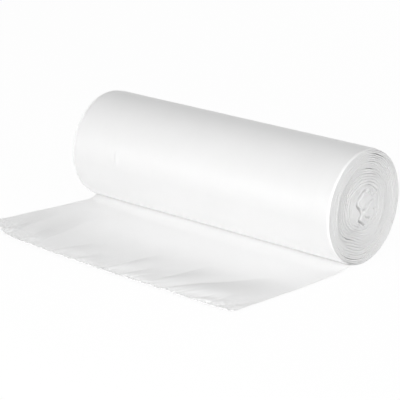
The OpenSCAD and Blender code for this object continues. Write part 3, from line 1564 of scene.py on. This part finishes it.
@dataclass
class LeadingBag:
    """The leading bag, lying open in front of the roll: two layers of film with a torn, curled edge.

    Attributes:
        web: The web's sizes.
        columns: Columns of the mesh across the web.
        rows: Rows from under the roll to the torn edge.
        film: Thickness of one layer.
        apart: Height of the upper layer over the lower one.
        cling: Distance from under the axis over which the web still follows the roll.
        sag: Distance over which it then comes down to the surface.
        under_skin: How far inside the roll's outside it runs there.
        over_line: Height of its top over that line.
        edge_lift: Height to which the torn edge curls up.
        corner_lift: Height to which the far corner curls up.
        corner_back: How far the far corner is drawn back.
        corner_in: How far it is drawn in from the side.
        lift_power: How sharply the curl rises towards it.
        in_power: How sharply the side is drawn in there.
        corner_share: Share of the width over which it is drawn back.
        corner_worn: How far the near corner is worn round.
        worn_width: Distance from the near side over which it is worn.
        curl_start: Share of the way out at which the curl starts at the near side.
        curl_power: How sharply the curl turns up.
        fan_slope: How the gathers slope across, at the middle.
        fan_gain: What that slope gains for each millimetre to the near side.
        perforation: The torn edge.
        edge_reach: Distance from the torn edge over which it sets the film's shape.
        relief_grows: How the relief grows with the share of the way out.
        near_low: Height of the creases at the near side, as a share.
        near_width: Distance from there over which they grow to their full height.
        fold_width: Distance from the folded sides over which the layers part.
        fold_share: How far apart they lie at the very sides, as a share.
        apart_share: How far apart they lie elsewhere, as a share.
        apart_varies: How much that varies at the torn edge.
        ragged: How unevenly the torn edge stands.
        ragged_share: How much of it both layers share.
        puff: How far the upper layer puffs up.
        puff_size: Size of a puff, across and along the web.
        puff_grows: How fast the puffs grow with the share of the way out.
        puff_seed: Where they read the noise.
        clear: Height of the upper layer over the lower one where both lie flat.
        crowded: How closely the rows crowd at the torn edge, from 0 to 1.
        wide: The wide gathers.
        narrow: The narrow ones at the torn edge.
        frizz: The frizz of that edge.
        rough: The crumpling of the front corners.
        frizz_shade: Painted shade in the frizz of that edge.
        rim: Uneven painted shade on its very rim, beside an even one.
        rim_shade: That even painted shade.
        crumple_shade: Painted shade in specks where the corners are crumpled.
        far_corner: How the crumpling grows towards the far side.
        near_corner: How it grows towards the near side, in X.
        near_crumpled: How much of it the near corner has.
        raised: How the painted shade grows outwards along the web.
        side_across: How a second painted shade grows towards the far side.
        side_along: How that shade grows outwards.
        side_fall: How most of it then goes again.
        side_gone: Share of it that goes.
        side_shade: The most that it shades.
        creases: The creases, from the near side to the far side.
    """

    web: Web
    columns: int = 420
    rows: int = 92
    film: float = 0.12
    apart: float = 0.22
    cling: float = 17.0
    sag: float = 9.0
    under_skin: float = 1.25
    over_line: float = 0.02
    edge_lift: float = 2.6
    corner_lift: float = 9.0
    corner_back: float = 22.0
    corner_in: float = 7.0
    lift_power: int = 3
    in_power: int = 6
    corner_share: float = 0.17
    corner_worn: float = 3.6
    worn_width: float = 11.0
    curl_start: float = 0.45
    curl_power: float = 1.5
    fan_slope: float = 0.2
    fan_gain: float = 0.003
    perforation: Perforation = Perforation()
    edge_reach: float = 6.0
    relief_grows: Ramp = Ramp(0.1375, 0.25)
    near_low: float = 0.35
    near_width: float = 30.0
    fold_width: float = 1.4
    fold_share: float = 0.4
    apart_share: float = 0.75
    apart_varies: float = 0.5
    ragged: Grain = Grain(5, math.inf, 1.0, 6.0, 47.0)
    ragged_share: float = 0.3
    puff: float = 0.3
    puff_size: tuple[float, float] = (45.0, 38.0)
    puff_grows: float = 3.0
    puff_seed: float = 51.0
    clear: float = 0.05
    crowded: float = 0.75
    wide: Grain = Grain(9, 50, 0.6, 38, 2.0)
    narrow: Grain = Grain(3.6, 16, 0.8, 9, 7.0)
    frizz: Grain = Grain(1.9, 2.4, 0.8, 3.2, 10.0)
    rough: Grain = Grain(4, 5, 1.3, 14, 13.0)
    frizz_shade: Grain = Grain(1.5, 1.6, 3.6, 4, 71.0)
    rim: Grain = Grain(2.6, math.inf, 2.4, 1.2, 73.0)
    rim_shade: float = 0.7
    crumple_shade: Grain = Grain(1.9, 2.2, 2.6, 13, 77.0)
    far_corner: Ramp = Ramp(0.7, 0.2)
    near_corner: Ramp = Ramp(112, 26)
    near_crumpled: float = 0.5
    raised: Ramp = Ramp(55, 95)
    side_across: Ramp = Ramp(0.7, 0.25)
    side_along: Ramp = Ramp(38, 30)
    side_fall: Ramp = Ramp(80, 50)
    side_gone: float = 0.7
    side_shade: float = 0.8
    creases: tuple[Crease, ...] = (
        Crease(138, 0.3, 42, 5, 1.3, 0.45),
        Crease(122, 0.15, 34, 5, 1.3, 0.4),
        Crease(108, 0.4, 28, 5, 0.9),
        Crease(71, 0.5, 98, 21, 3.2, 0.32),
        Crease(54, 0.09, 80, 12, 2.4, 0.45),
        Crease(37, 0.3, 30, 6, 0.8),
        Crease(24, 0.25, 44, 7, 1.0),
        Crease(4, 0.1, 74, 7, 2.0, 0.4),
        Crease(-30, 0.15, 36, 7, 0.8),
        Crease(-57, 0.14, 56, 8, 1.0, 0.4),
        Crease(-76, -0.22, 116, -13, 1.7, 0.35),
        Crease(-97, -0.1, 52, 7, 1.0, 0.4),
        Crease(-112, -0.22, 84, -8, 1.3, 0.4),
        Crease(-128, 0.05, 48, 6, 1.0),
    )

    def far_share(self, x: float) -> float:
        """0 at the near side of the web, and 1 at the far side."""
        return 0.5 - x / (2 * self.web.half_width)

    def reach(self, x: float) -> float:
        """Distance of the torn edge from under the axis.

        Args:
            x: The place across the web.

        Returns:
            The distance, which is less at both corners.
        """
        drawn = max(0.0, 1 - (1 - self.far_share(x)) / self.corner_share)
        worn = max(0.0, 1 - (self.web.half_width - x) / self.worn_width)
        return self.web.lead_reach - self.corner_back * drawn**2 - self.corner_worn * worn**2

    def curl(self, x: float, share: float) -> float:
        """Height of the curl.

        Args:
            x: The place across the web.
            share: Share of the way to the torn edge.

        Returns:
            The height.
        """
        start = self.curl_start * (1 - self.far_share(x))
        top = mix(self.edge_lift, self.corner_lift, self.far_share(x) ** self.lift_power)
        return top * max(0.0, (share - start) / (1 - start)) ** self.curl_power

    def creased(self, x: float, back: float) -> tuple[float, float]:
        """The height of all the creases at a point, and their painted shade there.

        Args:
            x: The place across the web.
            back: How far the point lies back from the torn edge.

        Returns:
            The height, and the painted shade.
        """
        heights, shades = zip(*(crease.at(x, back) for crease in self.creases))
        grown = smooth((self.web.half_width - x) / self.near_width)
        return sum(heights) * mix(self.near_low, 1, grown), sum(shades)

    def crumpled(self, x: float) -> float:
        """How crumpled the bag is at a place across: most at its two front corners."""
        return self.far_corner.at(self.far_share(x)) + self.near_crumpled * self.near_corner.at(x)

    def shade(self, x: float, back: float) -> float:
        """The painted shade at a point: in creases, along the torn perforation, at the crumpled corners,
        further out and towards the far side.

        Args:
            x: The place across the web.
            back: How far the point lies back from the torn edge.

        Returns:
            The painted shade, which is never below 0.
        """
        along = self.reach(x) - back
        side = self.side_shade * self.side_across.at(self.far_share(x)) * self.side_along.at(along)
        side *= 1 - self.side_gone * self.side_fall.at(along)
        # Painted shade along the torn edge: specks in its frizz, and a darker rim.
        edge = self.frizz_shade.at(x, back) + self.rim.at(x, back) + self.rim_shade * fading(back, self.rim.fade)
        crumple_shade = self.crumple_shade.at(x, back) * self.crumpled(x)
        return max(0.0, self.creased(x, back)[1] + self.raised.at(along) + side + edge + crumple_shade)

    def gathers(self, x: float, back: float) -> float:
        """Height of the small gathers near the torn edge.

        Args:
            x: The place across the web.
            back: How far the point lies back from the torn edge.

        Returns:
            The height.
        """
        fanned = x - (self.fan_slope + self.fan_gain * x) * back
        gathers = self.wide.at(fanned, back) + self.narrow.at(fanned, back) + self.frizz.at(x, back)
        return gathers + self.rough.at(x, back) * self.crumpled(x)

    def lift_off(self, along: float) -> float:
        """Height of the upper layer's top as it comes off the roll.

        Args:
            along: Distance from under the axis.

        Returns:
            The height.
        """
        held = max(min(along, self.cling), 0.0)
        radius = self.web.roll_radius - self.under_skin
        height = self.web.settled(self.web.axis_height - math.sqrt(radius**2 - held**2))
        return max(0.0, height + self.over_line) * fading(max(0.0, along - self.cling), self.sag)

    def surface(self, layer: Layer, x: float, share: float) -> Vector:
        """A point of a layer's underside.

        Args:
            layer: Which layer.
            x: The place across the web.
            share: Share of the way to the torn edge.

        Returns:
            The point.
        """
        reach = self.reach(x)
        back = reach * (1 - share)
        near_edge = fading(back, self.edge_reach)
        along = reach * share - self.perforation.behind(x, TORN_SEEDS[layer]) * near_edge
        relief = (self.creased(x, back)[0] + self.gathers(x, back)) * self.relief_grows.at(share)
        height = self.apart + self.curl(x, max(share, 0.0)) + relief
        fold = smooth((self.web.half_width - abs(x)) / self.fold_width)
        ragged = self.ragged.at(x, back)
        top = max(height + ragged * self.ragged_share, self.lift_off(along) - self.film)
        if layer is Layer.LOWER:
            apart = self.apart * (self.apart_share + self.apart_varies * ragged)
            height = top - apart * mix(self.fold_share, 1, fold)
        else:
            puffed = 0.5 + 0.5 * ripple(x / self.puff_size[0], along / self.puff_size[1], self.puff_seed)
            height = top + self.puff * smooth(share * self.puff_grows) * puffed * (1 - near_edge) * fold
        inward = self.corner_in * self.far_share(x) ** self.in_power * share**2
        return Vector((x + inward, -along, max(height, self.floor_height(layer))))

    def floor_height(self, layer: Layer) -> float:
        """The lowest that a layer's underside lies."""
        return 0.0 if layer is Layer.LOWER else self.film + self.clear

    def build_layer(self, layer: Layer, film: bpy.types.Material) -> bpy.types.Object:
        """Builds one layer of the leading bag.

        Args:
            layer: Which layer.
            film: Its finish.

        Returns:
            The layer, as a thin closed sheet.
        """
        mesh = bmesh.new()
        web_layer = mesh.verts.layers.float_vector.new("web")
        shade_layer = mesh.verts.layers.float.new("shade")
        bmesh.ops.create_grid(mesh, x_segments=self.columns, y_segments=self.rows, size=0.5)
        for vert in mesh.verts:
            x = 2 * self.web.half_width * vert.co.x
            left = 0.5 - vert.co.y
            share = 1 - mix(left, left**2, self.crowded)
            vert.co = self.surface(layer, x, share)
            # Painted shade, which the film's finish reads.
            vert[shade_layer] = self.shade(x, self.reach(x) * (1 - share))
            vert[web_layer] = Vector((self.web.lead_reach + vert.co.y, x, 0)) * MM
        bmesh.ops.reverse_faces(mesh, faces=mesh.faces)
        piece = finish_object(f"leading_bag_{layer.value}", mesh, (film,))
        thick = piece.modifiers.new("film", "SOLIDIFY")
        thick.thickness = self.film * MM
        thick.offset = 1.0
        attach(piece, BODY)
        return piece

    def build(self, film: bpy.types.Material, winding: bpy.types.Object) -> None:
        """Args:
            film: The finish of both layers.
            winding: The wound turns, from which they come; not used.
        """
        lower = self.build_layer(Layer.LOWER, film)
        upper = self.build_layer(Layer.UPPER, film)
        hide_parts(NODE)


@dataclass(frozen=True)
class SoftLight:
    """A large soft lamp.

    Attributes:
        name: Its name.
        place: Where it stands, in metres.
        size: Its width and height, in metres.
        power: Its power in watts.
    """

    name: str
    place: tuple[float, float, float]
    size: tuple[float, float]
    power: float


@dataclass
class Studio:
    """The plain white set: floor, soft lamps, white surroundings and the camera.

    Attributes:
        ambient: Strength of the surroundings' own light.
        floor_side: Side of the floor, in metres.
        floor_drop: How far the floor lies below the object, in metres.
        aim: The point at which the lamps are aimed, in metres.
        camera_place: Where the camera stands, in millimetres.
        camera_yaw: How far it is turned to the left of +Y, in degrees.
        camera_pitch: How far it looks down, in degrees.
        camera_roll: How far it is turned about its own line of sight, in degrees.
        focal_pixels: Its focal length in pixels of the photograph.
        picture_pixels: Side of the photograph, in pixels.
        lights: The lamps.
    """

    ambient: float = 0.36
    floor_side: float = 12.0
    floor_drop: float = 0.0002
    aim: tuple[float, float, float] = (0.0, -0.03, 0.04)
    camera_place: tuple[float, float, float] = (979.15, -1183.3, 487.75)
    camera_yaw: float = 40.59
    camera_pitch: float = 16.76
    camera_roll: float = 1.30
    focal_pixels: float = 1765.2
    picture_pixels: float = 400.0
    lights: tuple[SoftLight, ...] = (
        SoftLight("front_lamp", (1.08, -1.44, 1.4), (1.4, 1.4), 13.9),
        SoftLight("far_front_lamp", (0.38, -2.17, 0.42), (2.2, 0.8), 4.6),
        SoftLight("low_left_lamp", (-0.4, -0.75, 0.12), (0.8, 0.2), 1.15),
        SoftLight("low_front_lamp", (0.12, -0.69, 0.12), (0.8, 0.2), 1.7),
        SoftLight("right_lamp", (1.77, -0.31, 1.4), (1.4, 1.4), 4.2),
        SoftLight("top_lamp", (0.0, 0.1, 2.3), (1.6, 1.6), 7.3),
        SoftLight("back_lamp", (0.0, 1.6, 0.3), (1.0, 0.5), 5.0),
    )

    def build(self) -> None:
        """Builds the floor, the surroundings, the lamps and the camera."""
        self.add_floor()
        self.add_surroundings()
        for light in self.lights:
            self.add_light(light)
        self.add_camera()
        bpy.context.scene.view_settings.view_transform = "Standard"

    def add_floor(self) -> None:
        """Adds the floor just below the object."""
        mesh = bmesh.new()
        bmesh.ops.create_grid(mesh, x_segments=1, y_segments=1, size=self.floor_side / 2 / MM)
        bmesh.ops.translate(mesh, vec=Vector((0, 0, -self.floor_drop / MM)), verts=mesh.verts)
        finish_object("floor", mesh, (FloorFinish().make(),))

    def add_surroundings(self) -> None:
        """Sets white surroundings, which light the object at their own level."""
        world = bpy.data.worlds.new("surroundings")
        bpy.context.scene.world = world
        board = Board(world)
        strength = self.ambient + (1 - self.ambient) * direct_rays(board)
        sky = board.node("ShaderNodeBackground", None, {"Color": grey(1.0), "Strength": strength})
        board.node("ShaderNodeOutputWorld", None, {"Surface": sky})

    def add_light(self, light: SoftLight) -> None:
        """Adds one flat lamp, aimed at the object.

        Args:
            light: The lamp's place, size and power.
        """
        data = bpy.data.lights.new(light.name, "AREA")
        data.shape = "RECTANGLE"
        data.size, data.size_y = light.size
        data.energy = light.power
        lamp = bpy.data.objects.new(light.name, data)
        lamp.location = light.place
        lamp.rotation_mode = "QUATERNION"
        lamp.rotation_quaternion = (Vector(self.aim) - Vector(light.place)).to_track_quat("-Z", "Y")
        bpy.context.scene.collection.objects.link(lamp)

    def add_camera(self) -> None:
        """Adds the camera at the photograph's viewing angle."""
        data = bpy.data.cameras.new("camera")
        data.lens = data.sensor_width * self.focal_pixels / self.picture_pixels
        camera = bpy.data.objects.new("camera", data)
        turn = Matrix.Rotation(math.radians(self.camera_yaw), 4, "Z")
        tilt = Matrix.Rotation(math.radians(90 - self.camera_pitch), 4, "X")
        lean = Matrix.Rotation(math.radians(self.camera_roll), 4, "Z")
        camera.matrix_world = Matrix.Translation(Vector(self.camera_place) * MM) @ turn @ tilt @ lean
        bpy.context.scene.collection.objects.link(camera)
        bpy.context.scene.camera = camera


def main() -> None:
    """Builds the set, the winding and the leading bag."""
    logging.basicConfig(level=logging.INFO, format="%(name)s: %(message)s")
    web = Web.from_frame()
    Studio().build()
    edges = EdgeFinish().make()
    winding = Winding(web)
    wound = winding.build(WOUND_FILM.make(), edges)
    Core(winding).build(edges)
    LeadingBag(web).build(LOOSE_FILM.make(), wound)


if __name__ == "__main__":
    main()
